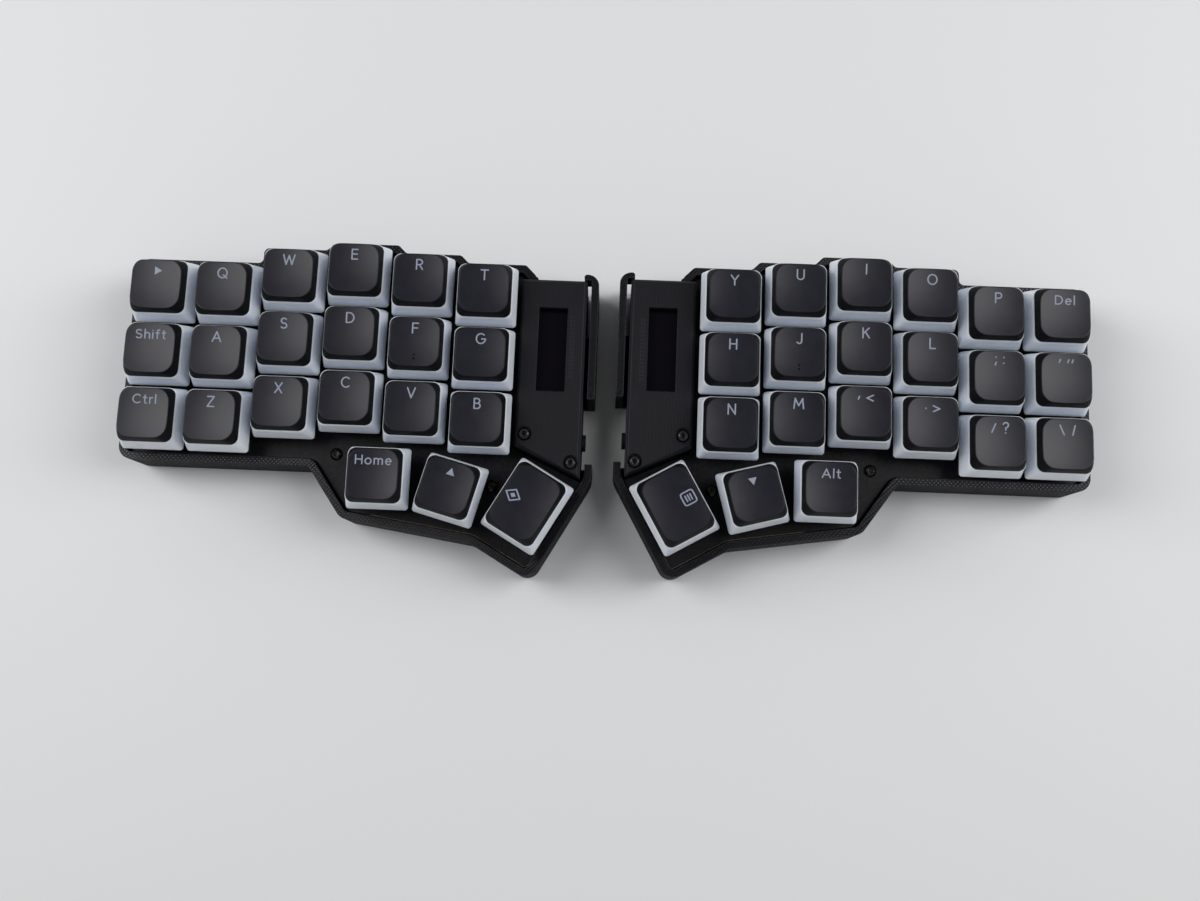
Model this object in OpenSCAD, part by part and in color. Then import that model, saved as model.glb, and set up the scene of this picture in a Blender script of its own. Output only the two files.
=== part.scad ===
// Split keyboard: two mirrored halves, each with 18 column-staggered keys and 3 thumb keys.
// Millimetres. +X to the right, +Y to the rear, +Z up, and the desk is at Z = 0.

/* [Keys] */
// Distance between neighbouring key centres
pitch = 19.05; // [19:0.05:20]
// Rearward shift of the ring finger's column
shift_ring = 4.75; // [3:0.125:6]
// Rearward shift of the middle finger's column
shift_middle = 7.125; // [6.5:0.125:9]
// Rearward shift of the index finger's column
shift_index = 4.75; // [3:0.125:6]
// Rearward shift of the innermost column
shift_inner = 2.375; // [0.5:0.125:2.75]
// First thumb key: inward of the middle column's front key
thumb1_dx = 9.6; // [8:0.1:11]
// Gap from the middle column's front keycap to the first thumb keycap
thumb1_gap = 4.05; // [3.4:0.05:6]
// Room between the first two thumb keycaps, for the second one's turn
thumb2_gap = 2.95; // [2.4:0.05:4]
// Second thumb key: forward of the first
thumb2_dy = 2.65; // [2:0.05:4]
// Turn of the second thumb key
thumb2_turn = 15; // [12:0.5:16]
// Room between the last two thumb keycaps, for the third one's turn
thumb3_gap = 4.4; // [3.9:0.05:6]
// Third thumb key: forward of the second
thumb3_dy = 3.75; // [3:0.05:5]
// Turn of the third thumb key
thumb3_turn = 30; // [28:0.5:32]
// Travel of a key
key_travel = 4; // [3:0.1:4]

/* [Keycaps] */
// Gap between neighbouring keycaps at their skirts
key_gap = 0.95; // [0.6:0.05:1.6]
// Length of the long thumb keycap at its skirt
cap_long = 22.9; // [21:0.1:24]
// Corner radius at the skirt
cap_corner = 1; // [0.5:0.1:2]
// Height of a keycap at its rim
cap_h = 10.1; // [9:0.1:11]
// Height of the milky skirt, up to the dark crown
skirt_h = 7; // [5:0.1:7.4]
// Inward lean of the skirt on each side
skirt_lean = 1.15; // [0.6:0.05:1.6]
// Corner radius where the crown starts
crown_corner = 2.2; // [1.5:0.1:3]
// Height of the crown's rounded shoulder below the rim
shoulder_h = 1; // [0.6:0.1:1.4]
// Inward lean of the crown up to its shoulder, on each side
crown_lean = 0.45; // [0.3:0.05:0.8]
// Inward lean of the shoulder up to the rim, on each side
shoulder_lean = 0.4; // [0.3:0.05:0.8]
// Corner radius at the rim
rim_corner = 3.4; // [2.5:0.1:4]
// Radius of the spherical dish
dish_r = 38; // [30:1:60]
// Depth of the dish below the rim at its middle
dish_depth = 1; // [0.7:0.1:1.4]
// Thickness of the skirt's wall
cap_wall = 1.3; // [1:0.1:1.6]
// Thickness of the crown below the dish
cap_roof = 1.2; // [1:0.1:1.5]
// Diameter of the post under the crown
post_d = 5.5; // [5.2:0.1:5.8]

/* [Switches] */
// Gap between neighbouring switches at their flanges
flange_gap = 3.45; // [3.2:0.05:4]
// Ledge of the flange that rests on the plate, on each side
flange_ledge = 0.85; // [0.6:0.05:1]
// Thickness of the flange
flange_t = 1; // [0.8:0.1:1.3]
// Step from the flange's edge in to the upper housing, on each side
hood_step = 0.8; // [0.6:0.05:1]
// Inward lean of the upper housing, on each side
hood_lean = 1.6; // [1.2:0.05:1.8]
// Height of the upper housing above the plate
hood_h = 6.6; // [6.3:0.1:6.8]
// Width of the plunger's slider, across the half
slider_w = 7; // [6.6:0.1:7.2]
// Depth of the plunger's slider, front to rear
slider_d = 6; // [5.8:0.1:6.4]
// Length of the slider inside the housing
slider_h = 4.4; // [4:0.1:4.8]
// Height of the cross stem above the slider
stem_h = 3.6; // [3.2:0.1:3.8]
// Span of the cross stem
stem_span = 4.1; // [3.9:0.05:4.2]
// Thickness of the cross stem's arms
stem_arm = 1.3; // [1.1:0.05:1.4]
// Skirt of a keycap above the plate, at rest
cap_rise = 6.4; // [6:0.1:7]

/* [Boards] */
// Thickness of the switch plate
plate_t = 1.6; // [1.4:0.1:2]
// Thickness of the circuit board
board_t = 1.6; // [1.4:0.1:2]
// Height of the spacers between board and plate
spacer_h = 3.4; // [3:0.1:4]
// Height of the case's bosses under the board
boss_h = 3.6; // [3:0.1:5]
// Gap between a board's edge and the case wall
edge_gap = 0.5; // [0.3:0.1:0.8]

/* [Case] */
// Gap between the outer keycaps and the case wall
case_gap = 0.35; // [0.3:0.05:1.5]
// Thickness of the case wall
wall_t = 2.2; // [1.6:0.1:2.6]
// Thickness of the rear wall behind the screen cover
rear_wall_t = 1.7; // [1.4:0.05:2]
// Thickness of the case floor
floor_t = 2.2; // [1.8:0.1:3]
// Height of the wall above the underside of the case
wall_h = 15; // [13:0.5:18]
// Height of the guard wall beside the screen cover
guard_h = 19; // [17:0.5:22]
// Height of the guard wall's hook over the rear opening
hook_h = 6.8; // [5:0.1:9]
// Rear face of the controller bay, behind the rear row's centre
bay_behind = 8.15; // [7:0.05:9]
// Corner radius at the rear of the guard wall
guard_corner = 3.4; // [2.6:0.1:4]
// Gap in the guard wall behind the link jack's middle
jack_gap_behind = 11.8; // [6:0.1:14]
// Gap in the guard wall ahead of the link jack's middle
jack_gap_ahead = 7; // [5:0.1:8.5]
// Where the guard wall turns towards the thumb keys, ahead of the front row's centre
guard_ahead = 14.95; // [14:0.05:16]
// Rear wall that stays behind the cover, at its side towards the keys
port_near = 3.65; // [3.4:0.05:4.2]
// Rear wall that stays behind the cover, at its side towards the guard wall
port_far = 0.15; // [0.1:0.05:1]
// Where the slot beside the screen cover opens to the desk
slot_from = 12; // [8:0.5:18]
// Reach of each rear step past the column beside it
step_reach = 0.9; // [0:0.1:1.5]
// From the ring column's centre to the notch before the thumb keys
notch_dx = 6.7; // [5:0.1:8]
// From the first thumb keycap's side to the case's outer corner
thumb_side = 2.35; // [2:0.05:4]
// From the first thumb keycap's front to the case's outer corner
thumb_front = 2.55; // [2:0.05:4]
// Gap between the third thumb keycap's side and the case wall
thumb_wall_gap = 0.4; // [0.3:0.05:1.5]
// From the third thumb keycap's front to the case's front face
thumb_apron = 6.45; // [5:0.05:8]
// Corner radius of the case's main corners
case_corner = 4; // [3:0.1:5]

/* [Screen cover] */
// Gap between the cover and the keycaps beside it
cover_gap = 1.25; // [0.8:0.05:1.6]
// Gap between the cover and the guard wall
guard_gap = 1.25; // [0.8:0.05:1.8]
// Gap between the cover and the case at the rear
cover_rear_gap = 0.2; // [0.1:0.05:0.5]
// Clearance between the controller and the cover's sides
bay_slack = 0.125; // [0.1:0.025:1]
// Front edge of the cover beside the keys, ahead of the front row's centre
cover_ahead_out = 6.15; // [5.8:0.05:6.6]
// Front edge of the cover beside the guard wall, ahead of the front row's centre
cover_ahead_in = 14.95; // [14:0.05:15.2]
// Thickness of the cover's top
cover_t = 2; // [1.6:0.1:2.6]
// Thickness of the cover's sides
cover_wall = 0.8; // [0.6:0.05:0.85]
// Gap between the display's glass and the underside of the cover's top
glass_gap = 0.9; // [0.6:0.1:2]
// Bevel along the cover's top edges
cover_bevel = 0.8; // [0.4:0.1:1.2]
// Width of the screen window
window_w = 8.5; // [7:0.1:9.5]
// Length of the screen window
window_l = 25.3; // [22:0.1:26]
// Middle of the window, ahead of the middle row's centre when negative
window_y = 4; // [3:0.1:5]
// Depth of the recess for each cover screw
cover_recess = 0.8; // [0.4:0.1:1]
// From the cover's sides to its screws
cover_screw_in = 2.8; // [2.6:0.1:3.4]
// From the cover's outer front corner back to its first screw
cover_screw_back = 3.6; // [2.8:0.1:6]

/* [Electronics] */
// Width of the display's board
display_w = 12; // [11.6:0.1:12.4]
// Length of the display's board
display_l = 38; // [37:0.1:39]
// Thickness of the display's board
display_t = 1.2; // [1:0.1:1.3]
// Underside of the display's board above the circuit board
display_rise = 6; // [5.8:0.1:6.4]
// Width of the display's glass
glass_w = 11.5; // [11:0.1:11.6]
// Length of the display's glass
glass_l = 30; // [28:0.1:31]
// Thickness of the display's glass
glass_t = 1.45; // [1.2:0.05:1.6]
// Width of the controller's board
controller_w = 17.6; // [17:0.1:17.7]
// Length of the controller's board
controller_l = 33; // [31:0.1:34]
// Thickness of the controller's board
controller_t = 1.6; // [1:0.1:1.7]
// Gap between the cable socket and the circuit board
socket_gap = 0.09; // [0.08:0.01:0.5]
// From the controller's sides to the middle of its pin headers
header_in = 1.18; // [1.1:0.01:2]
// Width of a pin header
header_w = 2.5; // [2.2:0.1:2.6]
// Width of the cable socket at the rear
usb_w = 8.94; // [8.6:0.02:9.2]
// Height of the cable socket at the rear
usb_h = 3.16; // [3:0.02:3.2]
// Depth of the cable socket
usb_d = 7.3; // [6:0.1:8]
// Thickness of the cable socket's shell
usb_wall = 0.3; // [0.2:0.05:0.4]
// Length of the link jack's body
jack_l = 12; // [11:0.1:13]
// Width of the link jack's body
jack_w = 6.1; // [5.6:0.1:6.6]
// Height of the link jack's body
jack_h = 5; // [5:0.1:5.6]
// Diameter of the link jack's nose
jack_nose_d = 5; // [4.6:0.1:5]
// Nose of the link jack past the cover
jack_proud = 1.2; // [0.4:0.1:1.2]
// Bore of the link jack
jack_bore_d = 3.6; // [3.5:0.05:3.8]
// Wall behind the link jack's bore
jack_back = 1.2; // [0.8:0.1:2]
// Place of the link jack, ahead of the front row's centre
jack_ahead = 3.35; // [2.5:0.05:3.8]

/* [Fasteners] */
// Diameter of a screw's shank
screw_d = 2; // [1.8:0.1:2.2]
// Diameter of a screw's head
head_d = 3.8; // [3.4:0.1:4.2]
// Height of a screw's head
head_h = 1.3; // [1:0.1:1.5]
// Width of the hex recess in a screw's head
hex_w = 1.5; // [1.2:0.1:1.6]
// Depth of the hex recess in a screw's head
hex_deep = 0.8; // [0.6:0.1:0.9]
// Clearance round a screw's shank, all round
screw_clear = 0.15; // [0.1:0.05:0.3]
// Grip of a shank in the case's boss
screw_grip = 2.8; // [2:0.1:3]
// Outer diameter of the spacers and standoffs
spacer_d = 3.2; // [3:0.1:3.4]
// Outer diameter of the case's bosses
boss_d = 5.6; // [5:0.1:6]

/* [Feet] */
// Diameter of a foot
foot_d = 8; // [6:0.5:10]
// Thickness of a foot
foot_t = 2; // [1.6:0.1:2.4]
// Height that a foot stands proud of the case
foot_proud = 1; // [0.5:0.1:1.2]

/* [Stance] */
// Gap between the two guard walls as the halves stand on the desk
desk_gap = 6.2; // [2:0.1:60]
// Rearward lead of the right half over the left
half_lead = 1.2; // [0:0.1:3]

/* [Hidden] */
$fn = 48;
// Clearance of a fitted piece and of a moving one, all round, and the overshoot of a cut
fit = 0.05;
run = 0.2;
over = 1;

// Sizes that follow the pitch, and the pieces that stand beside each other
cap_w = pitch - key_gap;
flange_w = pitch - flange_gap;
body_w = flange_w - 2 * flange_ledge;
hood_foot = flange_w - 2 * hood_step;
hood_top = hood_foot - 2 * hood_lean;
case_margin = cap_w / 2 + case_gap + wall_t;
header_h = usb_h + fit + socket_gap;
header_span = controller_w - 2 * header_in;
cover_rise = display_rise + display_t + fit + glass_t + glass_gap;

// Screen cover, guard wall and rear opening, from the innermost column's middle key
cover_out = cap_w / 2 + cover_gap;
cover_in = cover_out + controller_w + 2 * (bay_slack + cover_wall);
guard_inner = cover_in + guard_gap;
guard_x = guard_inner + wall_t;
bay_rear = pitch + bay_behind;
cover_rear = bay_rear - rear_wall_t - cover_rear_gap;
cover_front_out = -pitch - cover_ahead_out;
cover_front_in = -pitch - cover_ahead_in;
guard_front = -pitch - guard_ahead;
jack_y = -pitch - jack_ahead;
jack_gap_rear = jack_y + jack_gap_behind;
jack_gap_front = jack_y - jack_gap_ahead;
port_from = cover_out + port_near;
port_to = cover_in - port_far;
half_span = 2 * guard_x + desk_gap;

COLS = 6;
ROWS = 3;
SHIFT = [0, 0, shift_ring, shift_middle, shift_index, shift_inner];
LEFT_NAMES = [
  ["arrow_right", "q", "w", "e", "r", "t"],
  ["shift", "a", "s", "d", "f", "g"],
  ["ctrl", "z", "x", "c", "v", "b"],
  ["home", "arrow_up", "super"]
];
RIGHT_NAMES = [
  ["del", "p", "o", "i", "u", "y"],
  ["quote", "semicolon", "l", "k", "j", "h"],
  ["backslash", "slash", "period", "comma", "m", "n"],
  ["alt", "arrow_down", "menu"]
];
SHARED = ["case", "switch_plate", "circuit_board", "switch_housings", "screen_cover",
          "display", "controller", "fasteners", "feet"];
SIDES = ["left", "right"];

// Key places in a left half's own frame: its origin is the innermost column's middle key.
function key_at(col, row) =
  [(col - COLS + 1) * pitch, (1 - row) * pitch + SHIFT[col] - shift_inner];
thumb1 = key_at(3, 2) + [thumb1_dx, -cap_w - thumb1_gap];
thumb2 = thumb1 + [cap_w + thumb2_gap, -thumb2_dy];
thumb3 = thumb2 + [cap_w + thumb3_gap, -thumb3_dy];
// Each key: place, turn and length of its keycap
GRID = [for (row = [0 : ROWS - 1]) for (col = [0 : COLS - 1]) [key_at(col, row), 0, cap_w]];
THUMBS = [[thumb1, 0, cap_w], [thumb2, -thumb2_turn, cap_w], [thumb3, -thumb3_turn, cap_long]];
KEYS = concat(GRID, THUMBS);
function key_names(rows) = [for (row = rows) for (name = row) str("key_", name)];
KEY_NAMES = [key_names(LEFT_NAMES), key_names(RIGHT_NAMES)];

// Heights of the stack above the desk
case_z = foot_proud;
floor_z = case_z + floor_t;
board_z = floor_z + boss_h;
board_top = board_z + board_t;
plate_z = board_top + spacer_h;
plate_top = plate_z + plate_t;
cap_z = plate_top + cap_rise;
cover_z = board_top + cover_rise;
cover_top = cover_z + cover_t;

// Outline helpers: a polygon runs clockwise, and each corner is [point, radius].
function unit(v) = v / norm(v);
function left_of(v) = [-v[1], v[0]];
function cross2(a, b) = a[0] * b[1] - a[1] * b[0];
function meet(p, u, q, v) = p + u * cross2(q - p, v) / cross2(u, v);
function ring(list, i) = list[(i + len(list)) % len(list)];

// Moves every edge inward by d and keeps each corner's arc centre where it was.
function inset(poly, d) = [for (i = [0 : len(poly) - 1])
  let (
    a = ring(poly, i - 1)[0], b = poly[i][0], c = ring(poly, i + 1)[0],
    u = unit(b - a), v = unit(c - b),
    turn = cross2(u, v),
    p = abs(turn) < 0.001 ? b - left_of(u) * d : meet(b - left_of(u) * d, u, b - left_of(v) * d, v),
    r = turn < 0 ? max(poly[i][1] - d, 0.4) : poly[i][1] + d
  ) [p, r]];

// Points of one corner's arc, with a step every 10 degrees or so.
function arc(a, b, c, r) =
  let (
    u = unit(b - a), v = unit(c - b),
    turn = asin(max(-1, min(1, cross2(u, v)))),
    bend = u * v < 0 ? sign(turn) * (180 - abs(turn)) : turn,
    reach = r * tan(abs(bend) / 2),
    side = left_of(u) * sign(bend),
    centre = b - u * reach + side * r,
    steps = max(2, ceil(abs(bend) / 10))
  ) [for (k = [0 : steps])
      let (t = bend * k / steps)
      centre - side * r * cos(t) + u * r * sin(abs(t))];
function rounded(poly) = [for (i = [0 : len(poly) - 1])
  each arc(ring(poly, i - 1)[0], poly[i][0], ring(poly, i + 1)[0], poly[i][1])];

// Outer outline of a left case, clockwise from its outer rear corner
function rear_y(col) = key_at(col, 0)[1] + case_margin;
function col_x(col) = key_at(col, 0)[0];
front_y = key_at(0, 2)[1] - case_margin;
outer_x = col_x(0) - case_margin;
small_corner = case_corner / 2.5;
along = [cos(thumb3_turn), -sin(thumb3_turn)];
rearward = [sin(thumb3_turn), cos(thumb3_turn)];
step_x = case_margin + step_reach;
slope_start = col_x(5) + step_x - small_corner;
thumb_edge = cap_w / 2 + thumb_wall_gap + wall_t;
front_edge = cap_long / 2 + thumb_apron;
CASE = [
  [[outer_x, rear_y(0)], case_corner],
  [[col_x(2) - case_margin, rear_y(0)], small_corner],
  [[col_x(2) - case_margin, rear_y(2)], small_corner],
  [[col_x(3) - case_margin, rear_y(2)], small_corner],
  [[col_x(3) - case_margin + rear_y(3) - rear_y(2), rear_y(3)], small_corner],
  [[col_x(3) + step_x - rear_y(3) + rear_y(4), rear_y(3)], small_corner],
  [[col_x(3) + step_x, rear_y(4)], small_corner],
  [[col_x(4) + step_x - rear_y(4) + rear_y(5), rear_y(4)], small_corner],
  [[col_x(4) + step_x, rear_y(5)], small_corner],
  [[slope_start, rear_y(5)], small_corner],
  [[slope_start + rear_y(5) - bay_rear, bay_rear], small_corner],
  [[guard_x, bay_rear], guard_corner],
  [[guard_x, guard_front], 2 * case_corner],
  [thumb3 + along * thumb_edge - rearward * front_edge, case_corner],
  [thumb3 - along * cap_w / 2 - rearward * front_edge, case_corner],
  [thumb1 - [cap_w / 2 + thumb_side, cap_w / 2 + thumb_front], case_corner],
  [[col_x(2) + notch_dx, front_y], small_corner],
  [[outer_x, front_y], case_corner]
];
CASE_EDGE = rounded(CASE);
WALL_EDGE = rounded(inset(CASE, wall_t));
BOARD_EDGE = rounded(inset(CASE, wall_t + edge_gap));

// The halves stand with the middle of the whole keyboard's footprint at the origin.
rear_most = max([for (p = CASE_EDGE) p[1]]);
front_most = min([for (p = CASE_EDGE) p[1]]);
mid_y = (rear_most + front_most) / 2;
module on_side(side) {
  if (side == "left")
    translate([-half_span / 2, -mid_y - half_lead / 2, 0]) children();
  else
    translate([half_span / 2, -mid_y + half_lead / 2, 0]) mirror([1, 0, 0]) children();
}

// Screen cover's outline
window_x = (cover_out + cover_in) / 2;
function cover_outline(d) = [
  [cover_out + d, cover_rear - d], [cover_in - d, cover_rear - d],
  [cover_in - d, cover_front_in + d], [cover_out + d, cover_front_out + d]
];
front_slope = (cover_front_in - cover_front_out) / (cover_in - cover_out);
function cover_front_at(x) = cover_front_out + front_slope * (x - cover_out);

// Screw places: plate screws between the keys, and the cover's two at its front
PLATE_SCREWS = [
  [col_x(0) + pitch / 2, (key_at(0, 0)[1] + key_at(0, 1)[1]) / 2],
  [col_x(0) + pitch / 2, (key_at(0, 1)[1] + key_at(0, 2)[1]) / 2],
  [col_x(4) + pitch / 2, (key_at(4, 0)[1] + key_at(5, 1)[1]) / 2],
  [col_x(3) - pitch / 4, key_at(3, 2)[1] - cap_w / 2 - thumb1_gap - head_d / 2 + 2 * run],
  [(thumb2[0] + thumb3[0]) / 2, (thumb2[1] + thumb3[1]) / 2 + thumb1_gap + run]
];
inner_screw_x = cover_in - cover_screw_in;
COVER_SCREWS = [
  [cover_out + cover_screw_in, cover_front_out + cover_screw_back],
  [inner_screw_x, cover_front_at(inner_screw_x) + cover_screw_in * norm([1, front_slope])]
];

// Feet under the case, inside its corners
foot_inset = foot_d / 2 + wall_t + edge_gap;
FEET = [
  [outer_x + foot_inset, rear_y(0) - foot_inset],
  [outer_x + foot_inset, front_y + foot_inset],
  [col_x(3), rear_y(3) - foot_inset],
  [cover_in - foot_inset, cover_rear - foot_inset],
  thumb3 + along * (thumb_edge - foot_inset) - rearward * (front_edge - foot_inset)
];

// Solid between two rectangles, straight sides leaning in
module hopper(w0, d0, w1, d1, h) {
  intersection() {
    translate([0, d0 + w0, 0]) rotate([90, 0, 0])
      linear_extrude(2 * (d0 + w0)) polygon([[-w0 / 2, 0], [w0 / 2, 0], [w1 / 2, h], [-w1 / 2, h]]);
    translate([-d0 - w0, 0, 0]) rotate([90, 0, 90])
      linear_extrude(2 * (d0 + w0)) polygon([[-d0 / 2, 0], [d0 / 2, 0], [d1 / 2, h], [-d1 / 2, h]]);
  }
}

// Thin rounded rectangle, one layer of a keycap
module layer(w, l, r, z, fine = 16) {
  thin = 0.01;
  for (x = [-1, 1]) for (y = [-1, 1])
    translate([x * (w / 2 - r), y * (l / 2 - r), z]) cylinder(r = r, h = thin, $fn = fine);
}

// Keycap: milky skirt, dark crown with a spherical dish, and a post that grips the stem
module keycap(length) {
  crown_w = cap_w - 2 * skirt_lean;
  crown_l = length - 2 * skirt_lean;
  shoulder_w = crown_w - 2 * crown_lean;
  shoulder_l = crown_l - 2 * crown_lean;
  rim_w = shoulder_w - 2 * shoulder_lean;
  rim_l = shoulder_l - 2 * shoulder_lean;
  roof_z = cap_h - dish_depth - cap_roof;
  post_z = hood_h - cap_rise;
  difference() {
    union() {
      difference() {
        hull() {
          layer(cap_w, length, cap_corner, 0);
          layer(crown_w, crown_l, crown_corner, skirt_h);
          layer(shoulder_w, shoulder_l, (crown_corner + rim_corner) / 2, cap_h - shoulder_h);
          layer(rim_w, rim_l, rim_corner, cap_h);
        }
        translate([0, 0, cap_h - dish_depth + dish_r]) scale_dish(length);
        hull() {
          translate([0, 0, -over])
            cube([cap_w - 2 * cap_wall + 2 * skirt_lean / skirt_h * over,
                  length - 2 * cap_wall + 2 * skirt_lean / skirt_h * over, 0.01], center = true);
          translate([0, 0, roof_z])
            cube([rim_w - cap_wall, rim_l - cap_wall, 0.01], center = true);
        }
      }
      translate([0, 0, post_z]) cylinder(d = post_d, h = roof_z - post_z + cap_roof / 2);
    }
    translate([0, 0, post_z - over]) stem_cross(stem_h + over + fit, fit);
  }
}

// The dish: a sphere on a square cap, drawn out along a long cap
module scale_dish(length) {
  reach = length - cap_w;
  if (reach < 0.1)
    sphere(r = dish_r, $fn = 96);
  else {
    for (y = [-1, 1]) translate([0, y * reach / 2, 0]) sphere(r = dish_r, $fn = 96);
    rotate([90, 0, 0]) cylinder(r = dish_r, h = reach, center = true, $fn = 96);
  }
}

module stem_cross(h, clear) {
  for (turn = [0, 90]) rotate(turn)
    translate([-stem_span / 2 - clear, -stem_arm / 2 - clear, 0])
      cube([stem_span + 2 * clear, stem_arm + 2 * clear, h]);
}

// Switch plunger: slider in the housing's well and cross stem above it
module plunger() {
  translate([-slider_w / 2, -slider_d / 2, hood_h - run - slider_h])
    cube([slider_w, slider_d, slider_h]);
  translate([0, 0, hood_h - run - over]) stem_cross(stem_h + over, 0);
}

// One key: its keycap, and the plunger that it rides on
module key(side, place, turn, length) {
  on_side(side) translate([place[0], place[1], 0]) rotate(turn) {
    color("gainsboro") translate([0, 0, cap_z]) keycap(length);
    color("firebrick") translate([0, 0, plate_top]) plunger();
  }
}

// Switch housing, with a well for the slider: body under the plate, flange and hood above it
module housing() {
  well_deep = slider_h + key_travel + 2 * run;
  difference() {
    union() {
      translate([-body_w / 2, -body_w / 2, -plate_t - spacer_h])
        cube([body_w, body_w, plate_t + spacer_h + flange_t / 2]);
      translate([-flange_w / 2, -flange_w / 2, 0]) cube([flange_w, flange_w, flange_t]);
      translate([0, 0, flange_t]) hopper(hood_foot, hood_foot, hood_top, hood_top, hood_h - flange_t);
    }
    translate([-slider_w / 2 - run, -slider_d / 2 - run, hood_h - well_deep])
      cube([slider_w + 2 * run, slider_d + 2 * run, well_deep + over]);
  }
}

module switch_housings(side) {
  color("dimgray") on_side(side)
    for (k = KEYS) translate([k[0][0], k[0][1], plate_top]) rotate(k[1]) housing();
}

// Outline of the plate: the case's inside, cut away along the screen cover
module plate_shape() {
  far = guard_x + over;
  difference() {
    polygon(BOARD_EDGE);
    polygon([
      [cover_out - fit, bay_rear + over], [far, bay_rear + over],
      [far, cover_front_at(far) - edge_gap], [cover_out - fit, cover_front_at(cover_out) - edge_gap]
    ]);
  }
}

module switch_plate(side) {
  hole = body_w + 2 * fit;
  color("black") on_side(side) translate([0, 0, plate_z]) linear_extrude(plate_t) difference() {
    plate_shape();
    for (k = KEYS) translate(k[0]) rotate(k[1]) square(hole, center = true);
    for (p = PLATE_SCREWS) translate(p) circle(d = screw_d + 2 * screw_clear);
  }
}

// Outline of the circuit board: under the plate and the screen cover
module board_shape() {
  intersection() {
    polygon(BOARD_EDGE);
    translate([outer_x, front_most])
      square([cover_in - cover_wall - edge_gap - outer_x, rear_most - front_most]);
  }
}

// Link jack soldered to the board: a block with a round nose and a bore for the plug
module link_jack() {
  nose_x = cover_in + jack_proud;
  body_x = cover_in - cover_wall - fit;
  translate([0, jack_y, board_top]) difference() {
    union() {
      translate([body_x - jack_l, -jack_w / 2, 0]) cube([jack_l, jack_w, jack_h]);
      translate([body_x - over, 0, jack_h / 2]) rotate([0, 90, 0])
        cylinder(d = jack_nose_d, h = nose_x - body_x + over);
    }
    translate([body_x - jack_l + jack_back, 0, jack_h / 2]) rotate([0, 90, 0])
      cylinder(d = jack_bore_d, h = nose_x - body_x + jack_l);
  }
}

module circuit_board(side) {
  on_side(side) {
    color("black") translate([0, 0, board_z]) linear_extrude(board_t) difference() {
      board_shape();
      for (p = PLATE_SCREWS) translate(p) circle(d = screw_d + 2 * screw_clear);
      translate([cover_out, cover_rear]) square([cover_in - cover_out, bay_rear]);
    }
    color("black") translate([0, 0, fit]) link_jack();
  }
}

// Wall of the case in plan: the outline's rim, open at the link jack and at the rear as far as open_to
module wall_shape(open_to) {
  difference() {
    polygon(CASE_EDGE);
    polygon(WALL_EDGE);
    translate([cover_out - cover_rear_gap, slot_from])
      square([guard_inner - cover_out + cover_rear_gap, bay_rear - rear_wall_t - slot_from]);
    translate([port_from, slot_from]) square([open_to - port_from, bay_rear]);
    translate([cover_in, jack_gap_front]) square([guard_x, jack_gap_rear - jack_gap_front]);
  }
  translate([port_from, bay_rear - rear_wall_t / 2]) circle(d = rear_wall_t);
}

// Hook at the top of the guard wall in plan
module hook_shape() {
  intersection() {
    wall_shape(port_to);
    translate([port_to, slot_from]) square([guard_x, bay_rear]);
  }
  translate([port_to, bay_rear - rear_wall_t / 2]) circle(d = rear_wall_t);
}

// Floor of the case in plan: cut back beside the cover, so the desk shows in the slot
module floor_shape() {
  difference() {
    polygon(CASE_EDGE);
    translate([port_from, cover_rear]) square([guard_inner - port_from, bay_rear]);
    translate([cover_in, slot_from]) square([guard_gap, cover_rear + over - slot_from]);
    translate([cover_in, jack_gap_front]) square([guard_x, jack_gap_rear - jack_gap_front]);
  }
}

module case(side) {
  color([0.13, 0.13, 0.14]) on_side(side) difference() {
    union() {
      translate([0, 0, case_z]) linear_extrude(floor_t) floor_shape();
      translate([0, 0, case_z]) linear_extrude(wall_h) wall_shape(guard_inner);
      translate([0, 0, case_z]) linear_extrude(guard_h) intersection() {
        wall_shape(guard_inner);
        translate([cover_in, jack_gap_rear]) square([guard_x, bay_rear - jack_gap_rear]);
      }
      translate([0, 0, case_z + guard_h - hook_h]) linear_extrude(hook_h) hook_shape();
      for (p = PLATE_SCREWS) translate([p[0], p[1], case_z + floor_t / 2])
        cylinder(d = boss_d, h = board_z - case_z - floor_t / 2);
    }
    for (p = PLATE_SCREWS) translate([p[0], p[1], board_z - screw_grip - run])
      cylinder(d = screw_d + 2 * fit, h = screw_grip + over);
    for (p = FEET) translate([p[0], p[1], case_z - over])
      cylinder(d = foot_d + 2 * fit, h = over + foot_t - foot_proud);
  }
}

// Screen cover: a bevelled lid with a window, open below and at the rear
module screen_cover(side) {
  color([0.16, 0.16, 0.17]) on_side(side) difference() {
    hull() {
      translate([0, 0, board_top + fit]) linear_extrude(cover_top - cover_bevel - board_top - fit)
        polygon(cover_outline(0));
      translate([0, 0, cover_z]) linear_extrude(cover_t) polygon(cover_outline(cover_bevel));
    }
    translate([0, 0, board_z]) linear_extrude(cover_z - board_z) polygon(cover_outline(cover_wall));
    translate([cover_out + cover_wall, cover_rear - cover_wall - over, board_z])
      cube([cover_in - cover_out - 2 * cover_wall, cover_wall + 2 * over, cover_z - board_z]);
    translate([window_x - window_w / 2, window_y - window_l / 2, cover_z - over])
      cube([window_w, window_l, cover_t + 2 * over]);
    translate([cover_in - cover_wall - over, jack_y - jack_w / 2 - run, board_z])
      cube([cover_wall + 2 * over, jack_w + 2 * run, board_t + jack_h + 2 * run]);
    for (p = COVER_SCREWS) translate([p[0], p[1], board_z]) {
      cylinder(d = screw_d + 2 * screw_clear, h = cover_top - board_z + over);
      translate([0, 0, cover_top - cover_recess - board_z])
        cylinder(d = head_d + 4 * screw_clear, h = cover_recess + over);
    }
  }
}

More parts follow.
